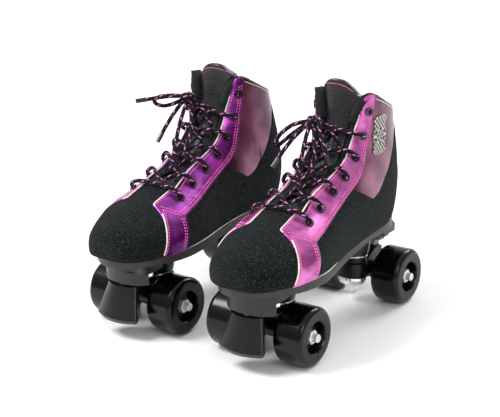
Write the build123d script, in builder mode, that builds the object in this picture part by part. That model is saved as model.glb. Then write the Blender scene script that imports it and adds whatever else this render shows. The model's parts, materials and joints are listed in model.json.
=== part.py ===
from build123d import *
from math import cos, hypot, pi, radians, sin, tan
import os

# A pair of quad roller skates: lace-up high boots on plates with two sprung trucks and four wheels each.
# Every piece is drawn once for the left skate, in millimetres: the origin is on the floor midway
# between the axles, toes point along -Y and the wearer's left is +X. The right skate is its mirror
# image, apart from its lace ends.

# ---- driving dimensions -------------------------------------------------------------------------
WHEEL_D = 58.0
WHEEL_W = 32.0
WHEELBASE = 180.0
WHEEL_X = 38.4  # middle of a wheel from the skate's centre plane
AXLE_R = 4.0
AXLE_END_X = 57.0
AXLE_NUT_X = 51.5  # outer face of the axle nut
NUT_SEAT_X = 45.92  # inner face of the axle nut, on the outer bearing
BEARING_R = 11.0
BEARING_W = 7.0
RUNNING_FIT = 0.05
PRESS_GAP = 0.02  # left between pieces that are pressed or screwed together

KINGPIN_LEAN = 7.0  # degrees from upright, the foot of each kingpin towards the skate's middle
KINGPIN_R = 4.0
RING_Y = 67.0  # centre of the hanger's ring, which the steering axis passes
RING_Z = 38.0
PIVOT_Y = 113.0  # centre of the pivot ball, the other end of the steering axis
PIVOT_Z = 62.0
PIVOT_R = 5.0

SOLE_BOTTOM = 76.0
SOLE_TOP = 85.0
INSOLE_TOP = 88.0
FLANGE_BOTTOM = 68.0
NOSE_BOTTOM = 55.0
NOSE_Y = -130.0
BOLT_SPOTS = [(23, -112), (-23, -112), (15, 95), (-15, 95)]
BOLT_R = 3.0

LINING_IN = -2.3  # the boot's layers, as distances outwards from the slices below
LINING_OUT = -0.1
SHELL_IN = 0.0
SHELL_OUT = 1.4
OVERLAY_IN = 1.5
OVERLAY_OUT = 2.5
TONGUE_OUT = -7.0
TONGUE_IN = -12.0
LACE_R = 2.1
EYELET_R = 4.3
BARREL_R = 2.8
BARREL_HOLE_R = 2.35
PANEL_HOLE_R = 2.85

LEFT_AT = (73.23, 14.14)
RIGHT_AT = (-70.21, 10.79)
RIGHT_YAW = -1.88

AXLE_Y = WHEELBASE / 2
AXLE_Z = WHEEL_D / 2

# ---- the boot's shape ---------------------------------------------------------------------------
# Each slice runs from the sole or heel (back y, z) to the ridge of the foot (front y, z), with its
# outer and inner half width, how far up it is widest, how square its lower and upper halves are, and
# how far the shaft has turned outwards by then.
SLICES = [
    (-146.0, 86, -146.0, 101, 9, 9, 0.50, 2.4, 2.0, 0),
    (-143.5, 76, -143.5, 106.5, 20, 20, 0.50, 2.8, 2.0, 0),
    (-137.0, 72, -137.0, 112.5, 29, 30, 0.50, 3.0, 2.0, 0),
    (-126.0, 70, -126.0, 118, 37, 38, 0.50, 3.0, 2.0, 0),
    (-108.0, 70, -108.0, 125, 44.5, 43.5, 0.47, 3.0, 2.0, 0),
    (-85.0, 70, -85.0, 132.5, 49.5, 47, 0.44, 3.0, 1.95, 0),
    (-58.0, 70, -60.0, 141, 49, 46, 0.42, 3.0, 1.9, 0),
    (-24.0, 70, -33.0, 153, 43, 41, 0.40, 3.0, 1.9, 0.5),
    (14.0, 70, -11.0, 167, 38, 36.5, 0.42, 2.9, 1.95, 1.2),
    (58.0, 70, 4.0, 181, 35.5, 35, 0.45, 2.8, 2.1, 2.2),
    (100.0, 72, 13.0, 194, 34, 34, 0.47, 2.7, 2.3, 3.4),
    (119.5, 98, 18.5, 206, 33.5, 33.5, 0.47, 2.5, 2.5, 4.5),
    (120.0, 130, 22.0, 217, 33.5, 33.5, 0.48, 2.4, 2.7, 5.3),
    (112.0, 165, 24.0, 229, 33.5, 33.5, 0.50, 2.3, 2.9, 5.8),
    (102.5, 200, 25.0, 241, 34, 34, 0.50, 2.2, 3.0, 6),
    (99.0, 222, 26.0, 252, 34, 34, 0.50, 2.2, 3.0, 6),
]
TURN_Y = 100.0  # the shaft turns about an upright line at this y
TOE_SHARE = (1.0, 0.7, 0.4)  # how much of a layer's growth also moves the first slices forward
SLICE_POINTS = 20

SOLE_OUTLINE = [
    (-5, -144.5), (12, -141), (26, -130.5), (37, -116), (46, -99), (51, -80), (51, -60), (45.5, -35),
    (40, -10), (34.5, 22), (30.5, 52), (30, 82), (25, 104), (12, 116), (0, 118.5),
    (-12, 116), (-25, 104), (-30, 82), (-30, 52), (-33, 22), (-38, -10), (-43.5, -35),
    (-47.5, -60), (-48, -80), (-43.5, -99), (-36, -116), (-28, -130), (-18, -140),
]

# lines across the boot seen from its side, as (y, z)
THROAT_LINE = [(-72, 141), (-64.7, 137.8), (-38, 149), (-10.9, 160.8), (6, 171), (17, 184),
               (25, 202), (30, 219)]
TOP_LINE = [(31.5, 227), (36, 231.5), (42, 230.5), (60, 222), (84, 210.5), (112, 204)]
STRAP_LINE = [(-75.2, 117.1), (-48, 124.5), (-20.4, 133.8), (5, 144.5), (24.1, 157.6), (34.5, 178),
              (39.5, 202), (41.6, 228)]
COLLAR_LINE = [(39, 125.5), (58, 134), (72, 149), (82, 166), (90, 184), (96, 204)]
LEG_FRONT = [(-94.5, 128.5), (-103, 112), (-113, 86)]
LEG_BACK = [(-75.2, 117.1), (-78, 102), (-82, 86)]
VAMP_SEAM = [(-72, 141), (-84, 122), (-99, 80)]
CORNER_HALF = 17.0  # half the gap between the eyestays ahead of the throat
EYELETS = [(-66.7, 131.3), (-44, 138.4), (-19.6, 147.6), (0.9, 157), (19.1, 171.9), (30.5, 191.2),
           (36.1, 214.5)]
LACED = 6  # the top pair of eyelets is left open
LACE_BEND = 3.2
BEND_SHARE = 0.45  # how much of a run one of its two arcs may use
OVER = 2.6  # how far a crossing's upper and lower strands lie out of the eyestays' surface
UNDER = -2.4
KNOT_R = 6.5
KNOTS = {"left": (-10, 8, 206), "right": (16, 5, 212)}  # in the left skate's frame, before mirroring

AGLET_R = 2.4
AGLET_LENGTH = 11.0
BOW_BEND = 25.0  # largest bend of the bow's loops and ends
BADGE_OUT = 3.0  # outer face of the badge, as a distance outwards from the slices

# The bow's free lace ends, each in its own skate's frame: out of the knot, round a loop, back
# through the knot and out again to the aglet.
BOWS = {
    "left": {
        "bow_a": [(-12, 5, 206), (-24, 2, 204), (-36, -1, 197), (-46, -3, 186), (-51, -2, 178),
                  (-47, 2, 177), (-38, 4, 186), (-27, 5, 195), (-16, 8, 203), (-7, 9, 208), (-7, 1, 208),
                  (-15, -1, 201), (-21, -9, 193), (-26, -18, 183), (-29, -26, 174)],
        "bow_b": [(-10, 1, 203), (-9, -8, 194), (-6, -17, 184), (-3, -27, 175), (0, -37, 167),
                  (5, -40, 162), (9, -34, 164), (9, -24, 173), (6, -14, 183), (-1, -5, 193), (-7, 3, 203),
                  (-9, 8, 208), (-3, 9, 211), (1, 0, 204), (7, -7, 198), (13, -11, 190), (18, -14, 181)],
    },
    "right": {
        "bow_a": [(-18, 3, 211), (-26, -4, 206), (-35, -10, 203), (-42, -15, 205), (-44, -17, 210),
                  (-38, -13, 214), (-28, -7, 215), (-19, 1, 214), (-11, 6, 212), (-8, 0, 214),
                  (-15, -4, 215), (-25, -9, 215), (-36, -16, 213.6), (-47, -24, 211.6)],
        "bow_b": [(-14, 2, 209), (-12, -8, 200), (-9, -18, 190), (-5, -28, 178), (-1, -38, 168),
                  (4, -41, 163), (8, -35, 165), (8, -25, 175), (4, -14, 187), (-4, -5, 198), (-11, 3, 207),
                  (-16, 9, 211), (-21, 4, 208), (-23, -6, 200), (-24.5, -17, 190), (-25, -27, 180)],
    },
}

LEFT_PLACE = Location((*LEFT_AT, 0))
RIGHT_PLACE = Location((*RIGHT_AT, 0), (0, 0, RIGHT_YAW))


# ---- placing and writing ------------------------------------------------------------------------
def place(part, side):
    """The left skate's part where it stands in the pair, or its mirror image in the right skate."""
    if side == "left":
        return LEFT_PLACE * part
    return RIGHT_PLACE * mirror(part, about=Plane.YZ, mode=Mode.PRIVATE)


def export(part, label):
    """Label a piece that stands where it belongs, and write it."""
    with BuildPart() as piece:
        add(part)
    piece.part.label = label
    export_step(piece.part, f"parts/{label}.step")


def write(part, side, name):
    """Place and write one piece of one skate."""
    export(place(part, side), f"{side}_{name}")


def write_pair(part, name):
    """Write a piece that both skates have."""
    for side in ("left", "right"):
        write(part, side, name)


def write_trucks(part, name):
    """Write a piece of the rear truck, and its mirror image in the front truck, for both skates."""
    write_pair(part, f"rear_{name}")
    write_pair(mirror(part, about=Plane.XZ, mode=Mode.PRIVATE), f"front_{name}")


# ---- wheels and axles ---------------------------------------------------------------------------
def wheel():
    """One wheel, rear and outer: rounded tread, dished outer face, hub bored for two bearings."""
    half = WHEEL_W / 2
    lip = 5.5
    seat = BEARING_R + RUNNING_FIT
    wall = 8.5
    inner_seat = -(WHEEL_X - 30.4)
    outer_seat = 38.9 - WHEEL_X
    with BuildPart() as piece:
        with BuildSketch(Plane.XZ) as section:
            with BuildLine():
                Polyline((-half, 15.5), (-half, AXLE_Z), (half, AXLE_Z), (half, 16.5), (half - 1, 15.5),
                         (half - 8.5, 13.5), (half - 8.5, seat), (outer_seat, seat), (outer_seat, wall),
                         (inner_seat, wall), (inner_seat, seat), (-half + 1, seat), (-half + 1, 15.5),
                         close=True)
            make_face()
            fillet(section.vertices().group_by(Axis.Y)[-1], lip)
        revolve(axis=Axis.X)
    return Location((WHEEL_X, AXLE_Y, AXLE_Z)) * piece.part


def ring(x_from, x_to, outer, inner):
    """A plain ring round the axle."""
    with BuildPart(Plane.YZ.offset(x_from)) as piece:
        Cylinder(outer, x_to - x_from, align=(Align.CENTER, Align.CENTER, Align.MIN))
        Cylinder(inner, x_to - x_from, align=(Align.CENTER, Align.CENTER, Align.MIN), mode=Mode.SUBTRACT)
    return Location((0, AXLE_Y, AXLE_Z)) * piece.part


def bearings():
    """Four shielded ball bearings on one axle."""
    with BuildPart() as piece:
        for x in (23.4, 38.9):
            add(ring(x, x + BEARING_W, BEARING_R, AXLE_R + PRESS_GAP))
            add(ring(-x - BEARING_W, -x, BEARING_R, AXLE_R + PRESS_GAP))
    return piece.part


def axle():
    """The axle rod with its inner spacers and its two end nuts."""
    with BuildPart() as piece:
        with Locations((0, AXLE_Y, AXLE_Z)):
            Cylinder(AXLE_R, 2 * AXLE_END_X, rotation=(0, 90, 0))
        chamfer(piece.edges().filter_by(GeomType.CIRCLE), 0.8)
    with BuildPart() as spacers:
        for x_from, x_to, outer in ((21.22, 23.38, 6.2), (30.42, 38.88, 5.5)):
            add(ring(x_from, x_to, outer, AXLE_R + PRESS_GAP))
            add(ring(-x_to, -x_from, outer, AXLE_R + PRESS_GAP))
    with BuildPart() as nut:
        with BuildSketch(Plane.YZ.offset(NUT_SEAT_X)):
            RegularPolygon(6.2, 6, major_radius=False)
            Circle(AXLE_R + PRESS_GAP, mode=Mode.SUBTRACT)
        extrude(amount=AXLE_NUT_X - NUT_SEAT_X)
        chamfer(nut.edges().group_by(Axis.X)[-1], 0.5)
    outer_nut = Location((0, AXLE_Y, AXLE_Z)) * nut.part
    inner_nut = mirror(outer_nut, about=Plane.YZ, mode=Mode.PRIVATE)
    return Compound([*piece.part.solids(), *spacers.part.solids(), *outer_nut.solids(), *inner_nut.solids()])


# ---- trucks -------------------------------------------------------------------------------------
KING = Plane(
    origin=(0, RING_Y, RING_Z),
    x_dir=(1, 0, 0),
    z_dir=(0, sin(radians(KINGPIN_LEAN)), cos(radians(KINGPIN_LEAN))),
)


def turned(points):
    """A piece turned about the kingpin from (radius, height) points, closed."""
    with BuildPart() as piece:
        with BuildSketch(Plane.XZ):
            with BuildLine():
                Polyline(*points, close=True)
            make_face()
        revolve(axis=Axis.Z)
    return KING.location * piece.part


def hanger():
    """The truck's hanger: a ring round the kingpin, an axle housing and a pivot arm."""
    with BuildPart() as piece:
        with BuildSketch(Plane.YZ):
            with BuildLine():
                Polyline((RING_Y + 6, 44), (84, 41), (98, 48), (106, 49), (114, 47.5), (114, 41),
                         (98, 31), (94, 21), (84, 21), (RING_Y + 8, 31), close=True)
            make_face()
        extrude(amount=7.5, both=True)
        with Locations((0, AXLE_Y, AXLE_Z)):
            Cylinder(9, 42.4, rotation=(0, 90, 0))
        with BuildSketch(KING.offset(-4.5)):
            Circle(15)
        extrude(amount=9)
        with Locations(Location((0, 109.5, 45), (0, 0, 0))):
            Cylinder(6.5, 6)
        with Locations((0, AXLE_Y, AXLE_Z)):
            Cylinder(AXLE_R + PRESS_GAP, 60, rotation=(0, 90, 0), mode=Mode.SUBTRACT)
        with BuildSketch(KING.offset(-10)):
            Circle(6.2)
        extrude(amount=20, mode=Mode.SUBTRACT)
        with BuildSketch(PIN.offset(-20)):
            Circle(PIN_R + PRESS_GAP)
        extrude(amount=40, mode=Mode.SUBTRACT)
        with BuildSketch(KING.offset(4.5)):
            Circle(17)
        extrude(amount=12, mode=Mode.SUBTRACT)
        with BuildSketch(KING.offset(-4.5)):
            Circle(19)
        extrude(amount=-20, mode=Mode.SUBTRACT)
    return piece.part


PIN_R = 3.0
PIN_FOOT = (109.0, 42.5)
PIN_LENGTH = hypot(PIVOT_Y - PIN_FOOT[0], PIVOT_Z - PIN_FOOT[1])
PIN = Plane(
    origin=(0, *PIN_FOOT),
    x_dir=(1, 0, 0),
    z_dir=(0, PIVOT_Y - PIN_FOOT[0], PIVOT_Z - PIN_FOOT[1]),
)


def pivot():
    """The pivot pin, screwed into the hanger's arm, with its ball end and jam nut."""
    with BuildPart() as pin:
        with BuildSketch(PIN):
            Circle(PIN_R)
        extrude(amount=PIN_LENGTH)
        with Locations((0, PIVOT_Y, PIVOT_Z)):
            Sphere(PIVOT_R)
    with BuildPart() as nut:
        with BuildSketch(PIN.offset(7.2)):
            RegularPolygon(5.2, 6, major_radius=False)
            Circle(PIN_R + PRESS_GAP, mode=Mode.SUBTRACT)
        extrude(amount=3.6)
    return Compound([*pin.part.solids(), *nut.part.solids()])


def cushions():
    """The two urethane cushions of one truck, above and below the hanger's ring."""
    upper = turned([(5, 4.9), (13.2, 4.9), (13.8, 7.5), (13.2, 10.9), (5, 10.9)])
    lower = turned([(5, -4.9), (14.2, -4.9), (14.2, -9), (12.6, -14.9), (5, -14.9)])
    return Compound([*upper.solids(), *lower.solids()])


def kingpin_set():
    """The kingpin with its nut, its dished cup below and its washer above."""
    pin = turned([(0, -30), (3.4, -30), (KINGPIN_R, -29.2), (KINGPIN_R, 28), (0, 28)])
    hole = KINGPIN_R + PRESS_GAP
    cup = turned([(hole, -18.98), (10.5, -18.98), (13.6, -17), (15.3, -13), (15.3, -10.5), (14.6, -10.5),
                  (14.6, -13), (13.2, -15.02), (hole, -15.02)])
    washer = turned([(hole, 11), (13.6, 11), (14.2, 12), (13.6, 13.2), (hole, 13.2)])
    with BuildPart() as nut:
        with BuildSketch(KING.offset(-26)):
            RegularPolygon(7, 6, major_radius=False)
            Circle(hole, mode=Mode.SUBTRACT)
        extrude(amount=7)
        chamfer(nut.edges().group_by(Axis.Z)[0], 0.6)
    return Compound([*pin.solids(), *cup.solids(), *washer.solids(), *nut.part.solids()])


# ---- plate, bolts and toe stop ------------------------------------------------------------------
def plate():
    """The plate under the sole: flange, nose block, kingpin bosses and pivot sockets."""
    with BuildPart() as piece:
        with BuildSketch(Plane.XY.offset(FLANGE_BOTTOM)):
            with BuildLine():
                Polyline((30, -98), (31.5, -112))
                Spline((31.5, -112), (22, -125), (0, NOSE_Y), (-22, -125), (-31.5, -112),
                       tangents=[(0, -1), (0, 1)])
                Polyline((-31.5, -112), (-30, -98), (-17, -86), (-16, 80), (-24, 90), (-24, 112),
                         (-14, 122), (14, 122), (24, 112), (24, 90), (16, 80), (17, -86), (30, -98))
            make_face()
        extrude(amount=SOLE_BOTTOM - FLANGE_BOTTOM)
        with BuildSketch(Plane.XY.offset(NOSE_BOTTOM)) as skirt:
            with BuildLine():
                Spline((28, -116.5), (20, -124.5), (0, NOSE_Y + 1), (-20, -124.5), (-28, -116.5))
                Polyline((-28, -116.5), (-17, -116), (-14, -104), (14, -104), (17, -116), (28, -116.5))
            make_face()
        extrude(amount=FLANGE_BOTTOM - NOSE_BOTTOM)
        with Locations((0, 112, (FLANGE_BOTTOM + 57) / 2)):
            Box(22, 20, FLANGE_BOTTOM - 57)
        boss = turned([(0, 13.3), (14.5, 13.3), (16, 20), (16, 28), (0, 28)])
        add(boss)
        add(mirror(boss, about=Plane.XZ, mode=Mode.PRIVATE))
        with Locations((0, 0, SOLE_BOTTOM + 20)):
            Box(120, 320, 40, mode=Mode.SUBTRACT)
        for spot in (PIVOT_Y, -PIVOT_Y):
            with Locations((0, spot, PIVOT_Z)):
                Sphere(PIVOT_R + 0.3, mode=Mode.SUBTRACT)
            with Locations((0, spot, PIVOT_Z - 10)):
                Cylinder(PIVOT_R + 0.3, 20, mode=Mode.SUBTRACT)
        hole = turned([(0, 0), (KINGPIN_R + PRESS_GAP, 0), (KINGPIN_R + PRESS_GAP, 28.1), (0, 28.1)])
        add(hole, mode=Mode.SUBTRACT)
        add(mirror(hole, about=Plane.XZ, mode=Mode.PRIVATE), mode=Mode.SUBTRACT)
        with Locations(*[(x, y, 72) for x, y in BOLT_SPOTS]):
            Cylinder(BOLT_R + PRESS_GAP, 20, mode=Mode.SUBTRACT)
        with BuildSketch(STEM):
            Circle(STEM_R + PRESS_GAP)
        extrude(amount=STEM_UP + PRESS_GAP, mode=Mode.SUBTRACT)
    return piece.part


STOP_TOP = 53.0
STOP_BOTTOM = 18.0
STEM_R = 3.5
STEM_UP = 6.0
STEM_DOWN = 26.0
STEM = Plane(origin=(0, -123.0, STOP_TOP), x_dir=(1, 0, 0), z_dir=(0, 6, 38))


def toe_stop():
    """The rubber toe stop: a tapered block that leans forward and down, with a rounded rim."""
    with BuildPart() as piece:
        for z, front, half, back, back_half in (
            (STOP_BOTTOM, -141, 24, -119, 16),
            (STOP_BOTTOM + 4, -143, 26.5, -118, 17.5),
            (STOP_TOP, -132, 19, -117.5, 14),
        ):
            with BuildSketch(Plane.XY.offset(z)) as level:
                with BuildLine():
                    ThreePointArc((-half, front + 8), (0, front), (half, front + 8))
                    Polyline((half, front + 8), (back_half, back), (-back_half, back), (-half, front + 8))
                make_face()
                fillet(level.vertices().group_by(Axis.Y)[0], 3.5)
                fillet(level.vertices().group_by(Axis.Y)[-1], 4)
        loft(ruled=True)
        with BuildSketch(STEM.offset(-STEM_DOWN - PRESS_GAP)):
            Circle(STEM_R + PRESS_GAP)
        extrude(amount=STEM_DOWN + 4, mode=Mode.SUBTRACT)
    return piece.part


def plate_bolts():
    """The four bolts and nuts that hold the boot to the plate, and the toe stop's stem."""
    with BuildPart() as bolts:
        with Locations(*[(x, y, 61) for x, y in BOLT_SPOTS]):
            Cylinder(BOLT_R, 29, align=(Align.CENTER, Align.CENTER, Align.MIN))
        with Locations(*[(x, y, INSOLE_TOP) for x, y in BOLT_SPOTS]):
            Cylinder(5, 2.4, align=(Align.CENTER, Align.CENTER, Align.MIN))
    with BuildPart() as nuts:
        with BuildSketch(Plane.XY.offset(FLANGE_BOTTOM - 5)):
            with Locations(*BOLT_SPOTS):
                RegularPolygon(5, 6, major_radius=False)
                Circle(BOLT_R + PRESS_GAP, mode=Mode.SUBTRACT)
        extrude(amount=4.98)
    with BuildPart() as stem:
        with BuildSketch(STEM.offset(-STEM_DOWN)):
            Circle(STEM_R)
        extrude(amount=STEM_DOWN + STEM_UP)
    return Compound([*bolts.part.solids(), *nuts.part.solids(), *stem.part.solids()])


# ---- boot ---------------------------------------------------------------------------------------
def outsole():
    """The flat outsole, with bolt holes."""
    with BuildPart() as piece:
        with BuildSketch(Plane.XY.offset(SOLE_BOTTOM)):
            with BuildLine():
                Spline(*SOLE_OUTLINE, periodic=True)
            make_face()
        extrude(amount=SOLE_TOP - SOLE_BOTTOM)
        chamfer(piece.edges().group_by(Axis.Z)[0], 1.0)
        with Locations(*[(x, y, SOLE_TOP) for x, y in BOLT_SPOTS]):
            Cylinder(BOLT_R + PRESS_GAP, 40, mode=Mode.SUBTRACT)
    return piece.part


def slice_plane(item, forward):
    """The plane of one slice, its origin at the sole or heel and its local y towards the ridge."""
    back_y, back_z, ridge_y, ridge_z = item[:4]
    turn = radians(item[9])
    across = Vector(cos(turn), sin(turn), 0)
    up = Vector(-sin(turn) * (ridge_y - back_y), cos(turn) * (ridge_y - back_y), ridge_z - back_z)
    origin = Vector(-sin(turn) * (back_y - TURN_Y), TURN_Y + cos(turn) * (back_y - TURN_Y), back_z)
    return Plane(origin=origin - Vector(0, forward, 0), x_dir=across, z_dir=across.cross(up))


def slice_points(item, grow):
    """Points round one slice, its outline moved outwards by grow."""
    back_y, back_z, ridge_y, ridge_z, outer, inner, widest, low_power, high_power = item[:9]
    height = hypot(ridge_y - back_y, ridge_z - back_z)
    points = []
    for step in range(SLICE_POINTS):
        angle = 2 * pi * (step + 0.5) / SLICE_POINTS
        c = cos(angle)
        s = sin(angle)
        power = high_power if s > 0 else low_power
        half = (outer if c > 0 else inner) + grow
        reach = ((1 - widest) if s > 0 else widest) * height + grow
        x = half * abs(c) ** (2 / power) * (1 if c > 0 else -1)
        v = widest * height + reach * abs(s) ** (2 / power) * (1 if s > 0 else -1)
        points.append((x, v))
    return points


def boot_form(grow, first=0):
    """The solid form of the boot from one slice on, moved outwards by grow."""
    with BuildPart() as form:
        for number, item in enumerate(SLICES[first:], first):
            share = TOE_SHARE[number] if number < len(TOE_SHARE) else 0
            with BuildSketch(slice_plane(item, grow * share)):
                with BuildLine():
                    Spline(*slice_points(item, grow), periodic=True)
                make_face()
        loft()
    return form.part


def side_prism(edges_of):
    """A solid 200 mm wide from a closed outline seen from the side, which edges_of draws."""
    with BuildPart() as prism:
        with BuildSketch(Plane.YZ):
            with BuildLine():
                edges_of()
            make_face()
        extrude(amount=100, both=True)
    return prism.part


def boot_outline():
    """The side view of the upper: sole, heel, sloping top line and open throat."""
    Spline(*THROAT_LINE)
    Line(THROAT_LINE[-1], TOP_LINE[0])
    Spline(*TOP_LINE)
    Polyline(TOP_LINE[-1], (150, 204), (150, SOLE_TOP), (-170, SOLE_TOP), (-170, 141), THROAT_LINE[0])


def vamp_outline():
    """The side view of the toe piece, up to its seam under the eyestay's leg."""
    Polyline(*VAMP_SEAM, (-99, 60), (-170, 60), (-170, 160), (-72, 160), VAMP_SEAM[0])


def collar_outline():
    """The side view of the foil collar panel, behind the eyestay."""
    Polyline(COLLAR_LINE[0], (5, 144.5))
    Spline(*STRAP_LINE[3:])
    Polyline(STRAP_LINE[-1], (41.6, 240), (96, 240), COLLAR_LINE[-1])
    Spline(*COLLAR_LINE)


def eyestay_outline():
    """The side view of the eyestay: the laced strap and the leg that runs down to the sole."""
    Polyline((-94.5, 160), *LEG_FRONT, (-113, 70), (-82, 70), LEG_BACK[-1])
    Spline(*LEG_BACK[::-1])
    Spline(*STRAP_LINE)
    Polyline(STRAP_LINE[-1], (41.6, 250), (-94.5, 250), (-94.5, 160))


def tongue_outline():
    """The side view of the tongue: a band under the throat that stands above the collar."""
    Spline((-80, 122), (-40, 130), (0, 148), (22, 166), (34, 190), (42, 215), (47, 243))
    Polyline((47, 243), (10, 243), (-60, 190), (-90, 150), (-80, 122))


def between(outer, inner, outline):
    """The skin between two forms of the boot, inside a side-view outline."""
    with BuildPart() as skin:
        add(outer)
        add(inner, mode=Mode.SUBTRACT)
        add(side_prism(outline), mode=Mode.INTERSECT)
    return skin.part


def big_solids(part, smallest=60):
    """The solids of a part that are over a volume, without slivers."""
    return Compound([solid for solid in part.solids() if solid.volume > smallest])


def lining(outer, inner):
    """The boot's lining and insole, open at the throat and the collar."""
    with BuildPart() as piece:
        add(outer)
        with BuildPart(mode=Mode.PRIVATE) as hollow:
            add(inner)
            with Locations((0, 0, INSOLE_TOP)):
                Box(200, 400, 100, align=(Align.CENTER, Align.CENTER, Align.MAX), mode=Mode.SUBTRACT)
        add(hollow.part, mode=Mode.SUBTRACT)
        add(side_prism(boot_outline), mode=Mode.INTERSECT)
        with Locations(*[(x, y, INSOLE_TOP) for x, y in BOLT_SPOTS]):
            Cylinder(BOLT_R + PRESS_GAP, 10, mode=Mode.SUBTRACT)
    return piece.part


def trimmed(skin, keep, drop=()):
    """A skin inside one side-view outline and outside others."""
    with BuildPart() as piece:
        add(skin)
        if keep:
            add(side_prism(keep), mode=Mode.INTERSECT)
        for outline in drop:
            add(side_prism(outline), mode=Mode.SUBTRACT)
    return piece.part


def without_corner(skin):
    """The eyestay layer without the gap over the toe end, between its two legs."""
    with BuildPart() as piece:
        add(skin)
        with Locations((0, -120, 140)):
            Box(2 * CORNER_HALF, 120, 120, mode=Mode.SUBTRACT)
    return piece.part


def tongue(outer, inner):
    """The padded tongue, rounded at its top."""
    with BuildPart() as piece:
        add(outer)
        add(inner, mode=Mode.SUBTRACT)
        add(side_prism(tongue_outline), mode=Mode.INTERSECT)
        with BuildSketch(Plane.XZ.offset(-60)) as front:
            with Locations((3.5, 180)):
                Rectangle(48, 126)
            fillet(front.vertices().group_by(Axis.Y)[-1], 18)
        extrude(amount=160, mode=Mode.INTERSECT)
    return piece.part


def eyelet_planes(form):
    """The planes of the eyelets on both sides of the boot: z out of the surface, y to the throat."""
    planes = {1: [], -1: []}
    for number, spot in enumerate(EYELETS):
        before = EYELETS[max(number - 1, 0)]
        after = EYELETS[min(number + 1, len(EYELETS) - 1)]
        row = Vector(0, after[0] - before[0], after[1] - before[1])
        hits = form.find_intersection_points(Axis((0, *spot), (1, 0, 0)))
        for side in (1, -1):
            point, normal = max(hits, key=lambda hit: side * hit[0].X)
            if side * normal.X < 0:
                normal = -normal
            along = row - normal * row.dot(normal)
            planes[side].append(Plane(origin=point, x_dir=along * side, z_dir=normal))
    return planes


def eyelets(planes):
    """The blackened metal eyelets: a flat flange and a barrel through the layers."""
    with BuildPart() as piece:
        for side in (1, -1):
            for plane in planes[side]:
                with BuildSketch(plane.offset(0.3)):
                    Circle(EYELET_R)
                extrude(amount=1.1)
                with BuildSketch(plane.offset(0.3)):
                    Circle(BARREL_R)
                extrude(amount=-5.4)
        for side in (1, -1):
            for plane in planes[side]:
                with BuildSketch(plane.offset(-8)):
                    Circle(BARREL_HOLE_R)
                extrude(amount=14, mode=Mode.SUBTRACT)
    return piece.part


def eyelet_holes(planes):
    """Pegs that cut the eyelets' holes through the layers of the boot."""
    with BuildPart() as pegs:
        for side in (1, -1):
            for plane in planes[side]:
                with BuildSketch(plane.offset(-9)):
                    Circle(PANEL_HOLE_R)
                extrude(amount=18)
    return pegs.part


def pierced(part, pegs):
    """A layer of the boot with the eyelets' holes in it."""
    with BuildPart() as piece:
        add(part)
        add(pegs, mode=Mode.SUBTRACT)
    return piece.part


def bend_radius(before, corner, after, largest):
    """The radius of the arc at one corner: the largest asked for, or what the runs leave room for."""
    run_in = Vector(*corner) - Vector(*before)
    run_out = Vector(*after) - Vector(*corner)
    half_turn = radians(run_in.get_angle(run_out)) / 2
    return min(largest, BEND_SHARE * min(run_in.length, run_out.length) / tan(half_turn))


def tube(points, radius, largest_bend):
    """A round tube along straight runs joined by arcs."""
    corners = zip(points, points[1:], points[2:])
    bends = [bend_radius(*corner, largest_bend) for corner in corners]
    with BuildPart() as piece:
        with BuildLine() as line:
            FilletPolyline(*points, radius=bends)
        with BuildSketch(line.line ^ 0):
            Circle(radius)
        sweep(path=line.line)
    length = line.wires()[0].length
    exact = pi * radius**2 * length
    print(f"tube: {length:.1f} mm, volume {piece.part.volume:.0f} of {exact:.0f} mm3, radii",
          [round(bend, 1) for bend in bends])
    return piece.part


def local(plane, toward, out):
    """A point beside an eyelet: so far towards the throat and so far out of the surface."""
    return plane.origin + plane.y_dir * toward + plane.z_dir * out


def ridge_point(form, centre, out):
    """The point over a spot of the throat, so far out of the boot's surface."""
    up = Vector(0, -0.55, 0.83)
    hits = form.find_intersection_points(Axis(centre, up))
    point, normal = max(hits, key=lambda hit: hit[0].Z)
    return point + up * out


def lace_half(form, planes, first, knot):
    """The route of one lace half: from over the toe end, eyelet by eyelet, up to the knot."""
    side = first
    route = []
    for number in range(LACED):
        plane = planes[side][number]
        route += [local(plane, 13, 3.6), local(plane, 0, 4.2), local(plane, 0, -7.4),
                  local(plane, 10, -7.6)]
        if number == LACED - 1:
            break
        onward = planes[-side][number + 1]
        over = (number % 2 == 0) == (first > 0)
        route.append(ridge_point(form, (plane.origin + onward.origin) * 0.5, OVER if over else UNDER))
        side = -side
    route.append(Vector(*knot) + Vector(side * 2, 0, 0))
    return route


def laces(form, planes, knot):
    """The laced part of the lace: the bar over the toe end, the crossings and the knot."""
    halves = [lace_half(form, planes, side, knot) for side in (1, -1)]
    bar = (halves[0][0] + halves[1][0]) * 0.5 + Vector(0, 0, 2)
    route = [*halves[1][::-1], bar, *halves[0]]
    with BuildPart() as piece:
        add(tube(route, LACE_R, LACE_BEND))
        with Locations(knot):
            Sphere(KNOT_R)
    return piece.part


def aglets(routes):
    """The plastic sleeves on the two lace ends."""
    with BuildPart() as piece:
        for route in routes:
            end = Vector(*route[-1])
            with BuildSketch(Plane(origin=end, z_dir=end - Vector(*route[-2]))):
                Circle(AGLET_R)
            extrude(amount=AGLET_LENGTH)
    return piece.part


def badge_outline():
    """The side view of the ornamental metal plate, upright with scalloped edges."""
    Spline((43, 172), (52, 169), (61, 173), (59.5, 180), (62, 188), (59.5, 196), (61, 205), (52, 208),
           (43, 204), (44.5, 196), (42, 188), (44.5, 180), periodic=True)


def badge(outer, inner):
    """The badge on the outer side of the collar."""
    both = between(outer, inner, badge_outline)
    return max(both.solids(), key=lambda solid: solid.center().X)


# ---- building -----------------------------------------------------------------------------------
os.makedirs("parts", exist_ok=True)

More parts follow.
